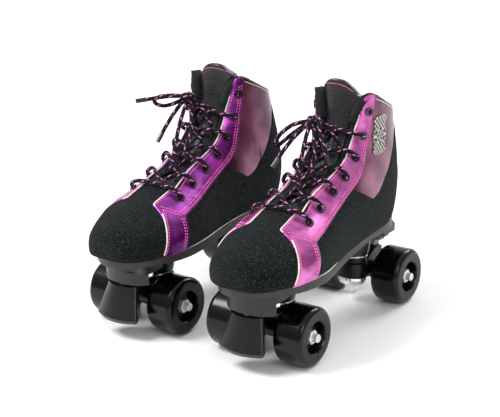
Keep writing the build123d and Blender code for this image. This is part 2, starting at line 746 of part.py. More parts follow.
rear_wheel = wheel()
for rim, part in (("outer", rear_wheel), ("inner", mirror(rear_wheel, about=Plane.YZ, mode=Mode.PRIVATE))):
    write_trucks(part, f"{rim}_wheel")
write_trucks(bearings(), "bearings")
write_trucks(axle(), "axle")
write_trucks(hanger(), "hanger")
write_trucks(pivot(), "pivot")
write_trucks(cushions(), "cushions")

rear_king = kingpin_set()
front_king = mirror(rear_king, about=Plane.XZ, mode=Mode.PRIVATE)
write_pair(Compound([*rear_king.solids(), *front_king.solids(), *plate_bolts().solids()]), "fasteners")
write_pair(plate(), "plate")
write_pair(toe_stop(), "toe_stop")
write_pair(outsole(), "outsole")

overlay_form = boot_form(OVERLAY_OUT)
planes = eyelet_planes(overlay_form)
pegs = eyelet_holes(planes)
shell = between(boot_form(SHELL_OUT), boot_form(SHELL_IN), boot_outline)
overlay = without_corner(between(overlay_form, boot_form(OVERLAY_IN), boot_outline))
write_pair(pierced(lining(boot_form(LINING_OUT), boot_form(LINING_IN)), pegs), "lining")
write_pair(big_solids(trimmed(shell, vamp_outline)), "vamp")
write_pair(big_solids(pierced(trimmed(shell, None, (vamp_outline, collar_outline)), pegs)), "quarters")
write_pair(big_solids(pierced(trimmed(shell, collar_outline, (vamp_outline,)), pegs)), "collar")
write_pair(big_solids(pierced(trimmed(overlay, eyestay_outline), pegs)), "eyestays")
write_pair(tongue(boot_form(TONGUE_OUT, 4), boot_form(TONGUE_IN, 4)), "tongue")
write_pair(eyelets(planes), "eyelets")
for side, knot in KNOTS.items():
    write(laces(overlay_form, planes, knot), side, "laces")
write_pair(badge(boot_form(BADGE_OUT), boot_form(OVERLAY_IN)), "badge")

for side, bow in BOWS.items():
    where = LEFT_PLACE if side == "left" else RIGHT_PLACE
    for name, route in bow.items():
        export(where * tube(route, LACE_R, BOW_BEND), f"{side}_{name}")
    export(where * aglets(bow.values()), f"{side}_aglets")
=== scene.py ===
"""Looks of a pair of quad roller skates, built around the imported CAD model.

Lengths are in millimetres where a name ends in _MM or a comment says so, and in metres elsewhere.
Each skate has its own frame: the origin on the floor between its axles, toes along -Y, and +X to
the wearer's left. PLACES turns a point of a skate's own frame into a point of the scene.
"""

import json
import math

import bpy
import numpy as np
from mathutils import Matrix, Vector, noise
from mathutils.bvhtree import BVHTree


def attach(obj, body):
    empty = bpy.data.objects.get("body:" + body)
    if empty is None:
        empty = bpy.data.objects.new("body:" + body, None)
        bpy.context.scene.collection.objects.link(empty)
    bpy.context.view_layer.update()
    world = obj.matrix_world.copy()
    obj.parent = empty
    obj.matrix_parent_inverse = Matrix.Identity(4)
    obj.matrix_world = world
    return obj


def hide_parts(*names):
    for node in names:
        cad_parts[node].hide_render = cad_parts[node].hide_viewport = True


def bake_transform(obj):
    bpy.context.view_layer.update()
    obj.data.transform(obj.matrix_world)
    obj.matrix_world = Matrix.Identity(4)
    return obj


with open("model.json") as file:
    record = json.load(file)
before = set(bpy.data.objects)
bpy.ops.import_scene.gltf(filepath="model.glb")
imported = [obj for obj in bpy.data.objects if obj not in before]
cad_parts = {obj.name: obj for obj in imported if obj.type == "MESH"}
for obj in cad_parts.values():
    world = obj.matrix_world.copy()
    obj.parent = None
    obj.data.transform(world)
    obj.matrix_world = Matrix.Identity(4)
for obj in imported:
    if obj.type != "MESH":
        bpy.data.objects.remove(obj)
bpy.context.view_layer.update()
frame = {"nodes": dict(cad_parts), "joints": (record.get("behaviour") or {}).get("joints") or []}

MM = 0.001
SIDES = ("left", "right")

# Lines across the boot seen from its side, as (y, z) in millimetres of a skate's own frame.
THROAT_LINE = [(-64.7, 137.8), (-38, 149), (-10.9, 160.8), (6, 171), (17, 184), (25, 202), (30, 221)]
STRAP_LINE = [(-76.5, 117.0), (-48, 124.5), (-20.4, 133.8), (5, 144.5), (24.1, 157.6), (34.5, 178),
              (39.5, 202), (41.3, 226)]
LEG_FRONT = [(-94, 127), (-103, 112), (-112, 88)]
LEG_BACK = [(-76.5, 117.0), (-79, 102), (-83, 88)]
SEAM = [(-92, 127.2), (-77, 118.4)]
CORNER_HALF = 17.0  # the eyestays' inner edges over the toe, from the skate's middle
CORNER_FRONT = -94.5
BESIDE_MM = 90  # well outside the boot
TONGUE_HALF_MM = 22
TONGUE_CORNER_MM = 9  # how far the corners of the tongue's top drop
TOP_LINE = [(44, 228), (60, 220.5), (84, 209), (108, 203)]

STITCH_PITCH_MM = 3.0
STITCH_R_MM = 0.52
STITCH_SIDES = 6
EDGE_R_MM = 0.75  # the rounded cut edges of the straps
FUZZ_SEED = 7  # without one, noise_vector differs from run to run

LACED_PAIRS = 6
LACE_R_MM = 2.1
LAYER_OVER_TONGUE_MM = 9.5  # from the tongue's outside to the eyestays' outside
OVER_MM = 2.6  # the upper and lower strands of a crossing, from the eyestays' outside
UNDER_MM = -2.4
KNOTS = {"left": (-10, 8, 206), "right": (-16, 5, 212)}

# The free lace ends, in millimetres of each skate's own frame: out of the knot, round a loop, back
# through the knot and out again to the aglet.
BOWS = {
    "left": {
        "bow_a": [(-12, 5, 206), (-24, 2, 204), (-36, -1, 197), (-46, -3, 186), (-51, -2, 178),
                  (-47, 2, 177), (-38, 4, 186), (-27, 5, 195), (-16, 8, 203), (-7, 9, 208), (-7, 1, 208),
                  (-15, -1, 201), (-21, -9, 193), (-26, -18, 183), (-29, -26, 174)],
        "bow_b": [(-10, 1, 203), (-9, -8, 194), (-6, -17, 184), (-3, -27, 175), (0, -37, 167),
                  (5, -40, 162), (9, -34, 164), (9, -24, 173), (6, -14, 183), (-1, -5, 193), (-7, 3, 203),
                  (-9, 8, 208), (-3, 9, 211), (1, 0, 204), (7, -7, 198), (13, -11, 190), (18, -14, 181)],
    },
    "right": {
        "bow_a": [(-18, 3, 211), (-26, -4, 206), (-35, -10, 203), (-42, -15, 205), (-44, -17, 210),
                  (-38, -13, 214), (-28, -7, 215), (-19, 1, 214), (-11, 6, 212), (-8, 0, 214),
                  (-15, -4, 215), (-25, -9, 215), (-36, -16, 213.6), (-47, -24, 211.6)],
        "bow_b": [(-14, 2, 209), (-12, -8, 200), (-9, -18, 190), (-5, -28, 178), (-1, -38, 168),
                  (4, -41, 163), (8, -35, 165), (8, -25, 175), (4, -14, 187), (-4, -5, 198), (-11, 3, 207),
                  (-16, 9, 211), (-21, 4, 208), (-23, -6, 200), (-24.5, -17, 190), (-25, -27, 180)],
    },
}


# ---- places -------------------------------------------------------------------------------------
def skate_place(side):
    """The matrix from a skate's own frame to the scene, read from its two steering joints."""
    joints = {joint["name"]: joint for joint in frame["joints"]}
    rear = Vector(joints[f"{side}_rear_truck_steer"]["pos_m"])
    front = Vector(joints[f"{side}_front_truck_steer"]["pos_m"])
    middle = (rear + front) / 2
    back = rear - front
    yaw = math.atan2(-back.x, back.y)
    return Matrix.Translation((middle.x, middle.y, 0)) @ Matrix.Rotation(yaw, 4, "Z")


PLACES = {side: skate_place(side) for side in SIDES}


def placed(side, point_mm):
    """A point given in millimetres of a skate's own frame, in the scene."""
    return PLACES[side] @ (Vector(point_mm) * MM)


# ---- materials ----------------------------------------------------------------------------------
class Shader:
    """A new material's nodes, with short calls to add and join them."""

    def __init__(self, name, **inputs):
        self.material = bpy.data.materials.new(name)
        self.material.use_nodes = True
        self.tree = self.material.node_tree
        self.surface = self.tree.nodes["Principled BSDF"]
        for key, value in inputs.items():
            self.surface.inputs[key.replace("_", " ")].default_value = value

    def add(self, kind, **settings):
        """Add a node, set its properties, and return it."""
        node = self.tree.nodes.new(kind)
        for key, value in settings.items():
            setattr(node, key, value)
        return node

    def join(self, output, socket):
        """Link an output to an input."""
        self.tree.links.new(output, socket)

    def coordinates(self, kind="Object"):
        """Texture coordinates: metres of the scene, or the piece's UV."""
        return self.add("ShaderNodeTexCoord").outputs[kind]

    def noise(self, scale, detail=3.0, stretch=None, distortion=0.0):
        """A noise texture's factor, so many waves to the metre."""
        node = self.add("ShaderNodeTexNoise")
        node.inputs["Scale"].default_value = scale
        node.inputs["Detail"].default_value = detail
        node.inputs["Distortion"].default_value = distortion
        vector = self.coordinates()
        if stretch:
            mapping = self.add("ShaderNodeMapping")
            mapping.inputs["Scale"].default_value = stretch
            self.join(vector, mapping.inputs["Vector"])
            vector = mapping.outputs["Vector"]
        self.join(vector, node.inputs["Vector"])
        return node.outputs["Fac"]

    def math(self, operation, *values):
        """A maths node on outputs or numbers."""
        node = self.add("ShaderNodeMath", operation=operation)
        for socket, value in zip(node.inputs, values):
            if isinstance(value, (int, float)):
                socket.default_value = value
            else:
                self.join(value, socket)
        return node.outputs[0]

    def ramp(self, factor, *stops):
        """A colour ramp through (position, colour) stops."""
        node = self.add("ShaderNodeValToRGB")
        elements = node.color_ramp.elements
        while len(elements) < len(stops):
            elements.new(0.5)
        for element, (position, color) in zip(elements, stops):
            element.position = position
            element.color = (*color, 1)
        self.join(factor, node.inputs["Fac"])
        return node.outputs["Color"]

    def bump(self, height, distance, strength=1.0, before=None):
        """Relief from a height, so many metres deep."""
        node = self.add("ShaderNodeBump")
        node.inputs["Distance"].default_value = distance
        node.inputs["Strength"].default_value = strength
        self.join(height, node.inputs["Height"])
        if before:
            self.join(before, node.inputs["Normal"])
        self.join(node.outputs["Normal"], self.surface.inputs["Normal"])
        return node.outputs["Normal"]

    def paint(self, color):
        """Set the base colour from an output."""
        self.join(color, self.surface.inputs["Base Color"])


def suede():
    """Black brushed suede with a faint blue-green cast and paler fibres."""
    s = Shader("black_suede", Roughness=1.0, Sheen_Weight=0.05, Sheen_Roughness=0.6)
    s.surface.inputs["Specular IOR Level"].default_value = 0.05
    nap = s.noise(1500, 5, distortion=0.4)
    patches = s.noise(640, 4, distortion=0.8)
    both = s.math("MULTIPLY_ADD", nap, 0.6, s.math("MULTIPLY", patches, 0.4))
    s.paint(s.ramp(both, (0.42, (0.0008, 0.0012, 0.0014)), (0.54, (0.0055, 0.0082, 0.009)),
                   (0.66, (0.055, 0.072, 0.076))))
    s.bump(both, 0.0012)
    return s.material


def foil(name, deep, bright, rough=0.25, streak=60, fold_shade=False):
    """Metallic foil on leather, with a fine grain. On a creased panel, shade is painted into the colour:
    darker in its folds, lighter where it bulges out.
    """
    s = Shader(name, Roughness=rough, Metallic=0.7, Coat_Weight=0.3, Coat_Roughness=0.12)
    streaks_and_fold_shade = s.noise(streak, 2, distortion=0.4)
    if fold_shade:
        # painted shade: the panel's relief darkens the colour in its folds and lightens it where it bulges
        relief = s.add("ShaderNodeAttribute", attribute_name="relief").outputs["Fac"]
        streaks_and_fold_shade = s.math("MULTIPLY_ADD", relief, 0.6, s.math("MULTIPLY", streaks_and_fold_shade, 0.4))
    s.paint(s.ramp(streaks_and_fold_shade, (0.38, deep), (0.66, bright)))
    s.bump(s.noise(1100, 3), 0.00012, 0.5)
    return s.material


def plain(name, color, rough, metal=0.0, coat=0.0, grain=1400, depth=0.00004, specular=0.5):
    """A moulded, cast or plated surface with a fine grain."""
    s = Shader(name, Roughness=rough, Metallic=metal, Coat_Weight=coat, Coat_Roughness=0.08)
    s.surface.inputs["Specular IOR Level"].default_value = specular
    tint = s.noise(120, 4)
    darker = tuple(c * 0.8 for c in color)
    lighter = tuple(min(1, c * 1.15) for c in color)
    s.paint(s.ramp(tint, (0.3, darker), (0.7, lighter)))
    s.bump(s.noise(grain, 2), depth, 0.6)
    return s.material


def moulded():
    """Black moulded rubber with fine upright streaks, painted lighter in its colour as highlights."""
    s = Shader("stop_rubber", Roughness=0.3)
    s.surface.inputs["Specular IOR Level"].default_value = 0.45
    streaks_and_highlights = s.noise(900, 3, stretch=(1, 1, 0.03))
    # painted highlight: the upright streaks are lighter in the colour; the same streaks give the bump
    s.paint(s.ramp(streaks_and_highlights, (0.3, (0.0025, 0.0023, 0.002)), (0.75, (0.012, 0.011, 0.0105))))
    s.bump(streaks_and_highlights, 0.00012, 0.6)
    return s.material


def braid():
    """Braided lace: black with short pink dashes that wind round it. Its UV is in millimetres."""
    s = Shader("black_lace_pink_dashes", Roughness=0.85, Sheen_Weight=0.03, Sheen_Roughness=0.5)
    s.surface.inputs["Specular IOR Level"].default_value = 0.15
    split = s.add("ShaderNodeSeparateXYZ")
    s.join(s.coordinates("UV"), split.inputs[0])
    along = split.outputs["X"]
    around = split.outputs["Y"]
    wind = s.math("FRACT", s.math("ADD", s.math("MULTIPLY", along, 1 / 14), s.math("MULTIPLY", around, 2)))
    length = s.math("FRACT", s.math("ADD", s.math("MULTIPLY", along, 1 / 5), around))
    dash = s.math("MULTIPLY", s.math("LESS_THAN", wind, 0.2), s.math("LESS_THAN", length, 0.6))
    thread = s.noise(2200, 2)
    dark = s.ramp(thread, (0.3, (0.002, 0.002, 0.003)), (0.75, (0.014, 0.013, 0.016)))
    pink = s.ramp(thread, (0.3, (0.36, 0.08, 0.28)), (0.7, (0.78, 0.32, 0.62)))
    mix = s.add("ShaderNodeMix", data_type="RGBA")
    s.join(dash, mix.inputs["Factor"])
    s.join(dark, mix.inputs["A"])
    s.join(pink, mix.inputs["B"])
    s.paint(mix.outputs["Result"])
    s.bump(thread, 0.0002, 0.7)
    return s.material


def pile():
    """The black fuzzy lining."""
    s = Shader("black_pile", Roughness=1.0, Sheen_Weight=0.06, Sheen_Roughness=0.7)
    s.surface.inputs["Specular IOR Level"].default_value = 0.05
    fuzz = s.noise(1500, 4)
    s.paint(s.ramp(fuzz, (0.35, (0.0015, 0.002, 0.002)), (0.75, (0.03, 0.033, 0.035))))
    s.bump(fuzz, 0.0014)
    return s.material


def perforated():
    """Black soft leather with a grid of small holes, painted black inside as shade and lighter round their
    rims as a highlight. Its UV is in millimetres.
    """
    s = Shader("perforated_leather", Roughness=0.27)
    s.surface.inputs["Specular IOR Level"].default_value = 0.45
    dots = s.add("ShaderNodeTexVoronoi", voronoi_dimensions="2D", feature="F1")
    dots.inputs["Scale"].default_value = 0.27
    dots.inputs["Randomness"].default_value = 0.0
    s.join(s.coordinates("UV"), dots.inputs["Vector"])
    # painted shade inside each hole and a painted highlight on its rim
    hole_shade_and_rim_highlight = s.ramp(dots.outputs["Distance"], (0.2, (0.0, 0.0, 0.0)), (0.28, (0.045, 0.045, 0.047)),
                   (0.44, (0.006, 0.006, 0.0065)))
    s.paint(hole_shade_and_rim_highlight)
    hole = s.math("LESS_THAN", dots.outputs["Distance"], 0.27)
    grain = s.bump(s.noise(260, 3), 0.0004, 0.6)
    s.bump(s.math("SUBTRACT", 1.0, hole), 0.0012, 1.0, grain)
    return s.material


def ornament():
    """Old silver metal that is dark in its hollows. The relief is in the piece's own colours."""
    s = Shader("old_silver", Roughness=0.34, Metallic=0.9)
    relief = s.add("ShaderNodeAttribute", attribute_name="relief")
    s.paint(s.ramp(relief.outputs["Fac"], (0.25, (0.05, 0.05, 0.045)), (0.7, (0.56, 0.54, 0.48))))
    s.bump(s.noise(1500, 3), 0.0001, 0.6)
    return s.material


MATERIALS = {
    "suede": suede(),
    "strap_left": foil("magenta_foil", (0.34, 0.05, 0.24), (0.62, 0.16, 0.46)),
    "strap_right": foil("violet_foil", (0.13, 0.008, 0.16), (0.42, 0.06, 0.45)),
    "panel": foil("dusky_pink_foil", (0.075, 0.012, 0.04), (0.26, 0.085, 0.15), 0.3, 28, fold_shade=True),
    "lining": pile(),
    "tongue": perforated(),
    "lace": braid(),
    "wheel": plain("black_wheel", (0.0014, 0.0014, 0.0018), 0.18, specular=0.26),
    "stop": moulded(),
    "sole": plain("sole_rubber", (0.03, 0.028, 0.0255), 0.45, grain=900, depth=0.0001, specular=0.4),
    "plate": plain("plate_nylon", (0.015, 0.0148, 0.015), 0.36, specular=0.4),
    "casting": plain("truck_casting", (0.004, 0.004, 0.0045), 0.35, grain=800, depth=0.00012, specular=0.3),
    "cushion": plain("cushion_rubber", (0.003, 0.003, 0.003), 0.45, specular=0.3),
    "shield": plain("bearing_shield", (0.004, 0.004, 0.004), 0.4, specular=0.3),
    "zinc": plain("zinc", (0.74, 0.76, 0.78), 0.34, metal=0.5),
    "chrome": plain("chrome", (0.85, 0.85, 0.86), 0.12, metal=0.85),
    "eyelet": plain("black_eyelet", (0.006, 0.006, 0.007), 0.22, coat=0.4),
    "aglet": plain("aglet_film", (0.006, 0.005, 0.006), 0.2, coat=0.6),
    "badge": ornament(),
    "thread": plain("pink_thread", (0.9, 0.17, 0.48), 0.6, specular=0.2),
    "cream": plain("cream_edge", (0.80, 0.77, 0.68), 0.8, grain=2500, depth=0.0002, specular=0.2),
}
NODE_MATERIALS = {
    "fasteners": "chrome", "plate": "plate", "toe_stop": "stop", "outsole": "sole", "lining": "lining",
    "vamp": "suede", "quarters": "suede", "collar": "panel", "tongue": "tongue", "eyelets": "eyelet",
    "laces": "lace", "aglets": "aglet", "badge": "badge", "cushions": "cushion", "hanger": "casting",
    "pivot": "zinc", "axle": "zinc", "bearings": "shield", "wheel": "wheel",
}


def dress_nodes():
    """Give every CAD node its material."""
    for name, node in frame["nodes"].items():
        side = name.split("_")[0]
        if name.endswith("eyestays"):
            key = f"strap_{side}"
        else:
            key = next((value for end, value in NODE_MATERIALS.items() if name.endswith(end)), "plate")
        node.data.materials.clear()
        node.data.materials.append(MATERIALS[key])


# ---- mesh helpers -------------------------------------------------------------------------------
def new_piece(name, verts, faces, material, body, slot, uvs=None):
    """A mesh object that rides on a body, or on none yet."""
    mesh = bpy.data.meshes.new(name)
    mesh.from_pydata([tuple(v) for v in verts], [], [tuple(f) for f in faces])
    mesh.materials.append(MATERIALS[material])
    if uvs is not None:
        layer = mesh.uv_layers.new(name="UVMap")
        loops = np.zeros(len(mesh.loops), int)
        mesh.loops.foreach_get("vertex_index", loops)
        layer.data.foreach_set("uv", np.asarray(uvs, float)[loops].ravel())
    mesh.polygons.foreach_set("use_smooth", [True] * len(mesh.polygons))
    mesh.update()
    piece = bpy.data.objects.new(name, mesh)
    bpy.context.scene.collection.objects.link(piece)
    if body:
        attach(piece, body)
    return piece


def node_points(node):
    """A CAD node's corners, as rows of x, y, z."""
    mesh = frame["nodes"][node].data
    points = np.zeros(len(mesh.vertices) * 3)
    mesh.vertices.foreach_get("co", points)
    return points.reshape(-1, 3)


def node_tree(node):
    """A search tree over a CAD node's faces."""
    mesh = frame["nodes"][node].data
    return BVHTree.FromPolygons([v.co for v in mesh.vertices], [p.vertices for p in mesh.polygons])


def smooth_path(points, step):
    """Points so far apart along a smooth curve through the given ones (centripetal Catmull-Rom)."""
    points = [np.array(p, float) for p in points]
    points = [2 * points[0] - points[1], *points, 2 * points[-1] - points[-2]]
    fine = []
    for a, b, c, d in zip(points, points[1:], points[2:], points[3:]):
        t1 = np.linalg.norm(b - a) ** 0.5 + 1e-9
        t2 = t1 + np.linalg.norm(c - b) ** 0.5 + 1e-9
        t3 = t2 + np.linalg.norm(d - c) ** 0.5 + 1e-9
        for t in np.linspace(t1, t2, 24, endpoint=False):
            ab = (t1 - t) / t1 * a + t / t1 * b
            bc = (t2 - t) / (t2 - t1) * b + (t - t1) / (t2 - t1) * c
            cd = (t3 - t) / (t3 - t2) * c + (t - t2) / (t3 - t2) * d
            abc = (t2 - t) / t2 * ab + t / t2 * bc
            bcd = (t3 - t) / (t3 - t1) * bc + (t - t1) / (t3 - t1) * cd
            fine.append((t2 - t) / (t2 - t1) * abc + (t - t1) / (t2 - t1) * bcd)
    fine.append(points[-2])
    return even_path(np.array(fine), step)


def even_path(fine, step):
    """The same path with its points so far apart."""
    along = np.concatenate([[0], np.cumsum(np.linalg.norm(np.diff(fine, axis=0), axis=1))])
    wanted = np.linspace(0, along[-1], max(2, int(along[-1] / step) + 1))
    return np.stack([np.interp(wanted, along, fine[:, axis]) for axis in range(3)], axis=1)


def lace_mesh(path, radius, around=20):
    """Verts, faces and UV of a braided tube along evenly spaced points. The UV is (mm, turns)."""
    tangents = np.gradient(path, axis=0)
    tangents /= np.linalg.norm(tangents, axis=1)[:, None]
    normal = np.cross(tangents[0], (0.3, 0.2, 0.9))
    normal /= np.linalg.norm(normal)
    along = np.concatenate([[0], np.cumsum(np.linalg.norm(np.diff(path, axis=0), axis=1))]) / MM
    turns = np.arange(around + 1) / around
    verts, uvs = [], []
    for point, tangent, distance in zip(path, tangents, along):
        normal = normal - tangent * normal.dot(tangent)
        normal /= np.linalg.norm(normal)
        other = np.cross(tangent, normal)
        weave = np.sin(2 * math.pi * (distance / 2.6 + 4 * turns)) * np.sin(
            2 * math.pi * (distance / 2.6 - 4 * turns))
        size = radius * (1 + 0.055 * weave)
        ring = np.outer(np.cos(2 * math.pi * turns) * size, normal)
        ring += np.outer(np.sin(2 * math.pi * turns) * size, other)
        verts.append(point + ring)
        uvs.append(np.stack([np.full(around + 1, distance), turns], axis=1))
    verts = np.concatenate(verts)
    uvs = np.concatenate(uvs)
    row = around + 1
    start = np.arange(len(path) - 1)[:, None] * row + np.arange(around)[None, :]
    start = start.ravel()
    faces = np.stack([start, start + 1, start + 1 + row, start + row], axis=1).tolist()
    last = (len(path) - 1) * row
    faces.append(list(range(around))[::-1])
    faces.append([last + i for i in range(around)])
    return verts, faces, uvs


# ---- upper --------------------------------------------------------------------------------------
def remade(node, voxel_mm, shift, material, uv=None, relief=False, lower=None):
    """A finely meshed copy of a soft CAD node, whose surface shift() moves in or out.

    shift(place_mm) gives millimetres, from a place in the skate's own frame, and lower(place_mm) gives
    how far a point moves down."""
    side = node.split("_")[0]
    source = bpy.data.objects.new("source", frame["nodes"][node].data.copy())
    bpy.context.scene.collection.objects.link(source)
    remesh = source.modifiers.new("remesh", "REMESH")
    remesh.mode = "VOXEL"
    remesh.voxel_size = voxel_mm * MM
    soften = source.modifiers.new("soften", "SMOOTH")
    soften.factor = 0.5
    soften.iterations = 2
    view = bpy.context.evaluated_depsgraph_get()
    mesh = bpy.data.meshes.new_from_object(source.evaluated_get(view))
    bpy.data.objects.remove(source)
    inverse = PLACES[side].inverted()
    places = [(inverse @ v.co) / MM for v in mesh.vertices]
    normals = [v.normal.copy() for v in mesh.vertices]
    moves = [shift(place) for place in places]
    for vertex, normal, move in zip(mesh.vertices, normals, moves):
        vertex.co += normal * move * MM
    if lower:
        for vertex, place in zip(mesh.vertices, places):
            vertex.co.z -= lower(place) * MM
    mesh.materials.clear()
    mesh.materials.append(MATERIALS[material])
    mesh.polygons.foreach_set("use_smooth", [True] * len(mesh.polygons))
    if uv:
        layer = mesh.uv_layers.new(name="UVMap")
        for loop in mesh.loops:
            layer.data[loop.index].uv = uv(places[loop.vertex_index])
    if relief:
        values = np.array(moves)
        values = (values - values.min()) / max(values.max() - values.min(), 1e-9)
        mesh.attributes.new("relief", "FLOAT", "POINT").data.foreach_set("value", values)
    mesh.update()
    piece = bpy.data.objects.new(f"{node}_soft", mesh)
    bpy.context.scene.collection.objects.link(piece)
    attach(piece, f"{side}_skate")
    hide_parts(node)
    return piece


def nap(place):
    """Suede: soft lumps and short fibres."""
    return 0.35 * noise.noise(place * 0.05) + 0.16 * noise.noise(place * 1.1)


def fleece(place):
    """The pile of the lining: tufts about a millimetre high."""
    return 0.25 + 0.55 * noise.noise(place * 0.7) + 0.25 * noise.noise(place * 1.6)


def creases(place):
    """Long slanting folds across the foil panels, with a few sharp creases among them."""
    along = (place.y - place.z) * 0.7
    across = (place.y + place.z) * 0.7
    slant = Vector((place.x * 0.01, along * 0.013, across * 0.04))
    fold = noise.noise(slant)
    crease = max(0.0, 1 - abs(noise.noise(slant + Vector((3.1, 0, 0)))) * 12)
    there = min(1.0, max(0.0, 3 * noise.noise(slant * 0.8 + Vector((0, 7.7, 0))) + 0.35))
    return 0.8 * fold - 0.55 * crease * there + 0.1 * noise.noise(place * 0.1)


def dents(place):
    """The slight waviness of a stitched strap."""
    return 0.3 * noise.noise(place * 0.045) + 0.03 * noise.noise(place * 0.4)


def padding(place):
    """The tongue's padding: soft and a little quilted."""
    return 0.5 + 0.5 * noise.noise(place * 0.06)


def rosette(place):
    """The badge's cast relief: a plain rosette between beaded bands, alike on all four quarters."""
    y = place.y - 52
    z = place.z - 188
    radius = math.hypot(y, z)
    petals = math.cos(6 * math.atan2(z, y)) * math.cos(0.9 * radius)
    beads = math.cos(1.5 * y) * math.cos(1.2 * z)
    outside = min(1.0, max(0.0, (radius - 7.5) / 1.5))
    return 0.6 * (petals * (1 - outside) + beads * outside) + 0.2 + 0.2 * noise.noise(place * 0.8)


def rounded_top(place):
    """Takes the corners off the tongue's top."""
    height = min(1.0, max(0.0, (place.z - 212) / 26))
    return height * TONGUE_CORNER_MM * min(1.0, abs(place.x) / TONGUE_HALF_MM) ** 2.5


def tongue_uv(place):
    """Millimetres across and along the tongue's leaning upper part."""
    return place.x, 0.24 * place.y + 0.97 * place.z


def dress_upper(side):
    """The soft pieces of one boot."""
    remade(f"{side}_vamp", 0.8, nap, "suede")
    remade(f"{side}_quarters", 0.8, nap, "suede")
    remade(f"{side}_collar", 0.6, creases, "panel", relief=True)
    remade(f"{side}_eyestays", 0.5, dents, f"strap_{side}")
    remade(f"{side}_lining", 1.0, fleece, "lining")
    remade(f"{side}_badge", 0.4, rosette, "badge", relief=True)
    tongue = remade(f"{side}_tongue", 0.9, padding, "tongue", uv=tongue_uv,
                    lower=rounded_top)


# ---- laces --------------------------------------------------------------------------------------
def parts_of(node):
    """The corners of each separate solid of a CAD node."""
    mesh = frame["nodes"][node].data
    points = node_points(node)
    keys = {}
    same = [keys.setdefault(tuple(np.round(p, 6)), i) for i, p in enumerate(points)]
    parent = list(range(len(points)))

    def root(i):
        while parent[i] != i:
            parent[i] = parent[parent[i]]
            i = parent[i]
        return i

    for polygon in mesh.polygons:
        corners = [root(same[i]) for i in polygon.vertices]
        for corner in corners[1:]:
            parent[root(corner)] = root(corners[0])
    groups = {}
    for i in range(len(points)):
        groups.setdefault(root(same[i]), []).append(i)
    return [points[group] for group in groups.values()]


def eyelet_frames(side):
    """For each side of the boot, from the toe up: each eyelet's place, its outward direction and
    the direction to the throat, in the scene."""
    inverse = PLACES[side].inverted()
    found = {1: [], -1: []}
    for points in parts_of(f"{side}_eyelets"):
        centre = (points.min(0) + points.max(0)) / 2
        values, vectors = np.linalg.eigh(np.cov((points - points.mean(0)).T))
        gaps = (values[1] - values[0], values[2] - values[1])
        axis = Vector(vectors[:, 0] if gaps[0] > gaps[1] else vectors[:, 2])
        own = inverse @ Vector(centre)
        hand = 1 if own.x > 0 else -1
        if (inverse.to_3x3() @ axis).x * hand < 0:
            axis = -axis
        spread = (points - points.mean(0)) @ np.array(axis)
        across = (points - points.mean(0)) - np.outer(spread, np.array(axis))
        middle = points.mean(0) + across.mean(0)
        face = Vector(middle) + axis * (spread.max() - 1.4 * MM)
        found[hand].append((own.z, face, axis))
    frames = {}
    for hand, items in found.items():
        items.sort(key=lambda item: item[0])
        frames[hand] = []
        for number, (_, face, axis) in enumerate(items):
            row = items[min(number + 1, len(items) - 1)][1] - items[max(number - 1, 0)][1]
            along = (row - axis * row.dot(axis)).normalized() * hand
            frames[hand].append((face, axis, axis.cross(along)))
    return frames


def over_tongue(side, tongue, centre, out_mm):
    """The point over a spot of the throat, so far out of the eyestays' surface."""
    up = Vector((0, -0.55, 0.83)).normalized()
    up = PLACES[side].to_3x3() @ up
    hit = tongue.ray_cast(centre + up * 0.06, -up)[0]
    return hit + up * (LAYER_OVER_TONGUE_MM + out_mm) * MM


def lace_half(side, frames, tongue, first):
    """The route of one lace half, from over the toe end, eyelet by eyelet, up to the knot."""
    hand = first
    route = []
    for number in range(LACED_PAIRS):
        face, out, throat = frames[hand][number]
        for toward_mm, out_mm in ((13, 3.6), (4, 4.4), (0.4, 3.0), (0, -2), (1, -7.0), (10, -7.6)):
            route.append(face + throat * toward_mm * MM + out * out_mm * MM)
        if number == LACED_PAIRS - 1:
            break
        onward = frames[-hand][number + 1][0]
        over = (number % 2 == 0) == (first > 0)
        route.append(over_tongue(side, tongue, (face + onward) / 2, OVER_MM if over else UNDER_MM))
        hand = -hand
    knot = placed(side, KNOTS[side])
    route.append(knot)
    return route


def knot_path(side):
    """A small overhand knot: a trefoil, about 12 mm across."""
    turn = np.linspace(0, 2 * math.pi, 160)
    centre = np.array(placed(side, KNOTS[side]))
    x = (np.sin(turn) + 2 * np.sin(2 * turn)) * 1.75 * MM
    y = (np.cos(turn) - 2 * np.cos(2 * turn)) * 1.75 * MM
    z = -np.sin(3 * turn) * 2.2 * MM
    flat = np.stack([x, y, z], axis=1)
    lean = Matrix.Rotation(math.radians(50), 3, "X")
    return centre + flat @ np.array(lean).T


def lace_up(side):
    """The held lace: the straight bar over the toe end, the crossings and the knot."""
    frames = eyelet_frames(side)
    tongue = node_tree(f"{side}_tongue")
    halves = [lace_half(side, frames, tongue, hand) for hand in (1, -1)]
    bar = (halves[0][0] + halves[1][0]) / 2 + Vector((0, 0, 2 * MM))
    route = [*halves[1][::-1], bar, *halves[0]]
    path = smooth_path(route, 0.45 * MM)
    verts, faces, uvs = lace_mesh(path, LACE_R_MM * MM)
    body = f"{side}_skate"
    lace = new_piece(f"{side}_lace", verts, faces, "lace", body, "lace", uvs)
    verts, faces, uvs = lace_mesh(knot_path(side), LACE_R_MM * MM)
    new_piece(f"{side}_lace_knot", verts, faces, "lace", body, "lace", uvs)
    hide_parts(f"{side}_laces")


def nurbs_points(name, route):
    """Points along the smooth curve that has the route's points as its control points."""
    data = bpy.data.curves.new(name, "CURVE")
    data.dimensions = "3D"
    data.resolution_u = 16
    spline = data.splines.new("NURBS")
    spline.points.add(len(route) - 1)
    for point, place in zip(spline.points, route):
        point.co = (*place, 1)
    spline.order_u = 3
    spline.use_endpoint_u = True
    guide = bpy.data.objects.new(name, data)
    bpy.context.scene.collection.objects.link(guide)
    bpy.context.view_layer.update()
    mesh = bpy.data.meshes.new_from_object(guide)
    points = np.array([v.co for v in mesh.vertices])
    bpy.data.objects.remove(guide)
    bpy.data.meshes.remove(mesh)
    return points


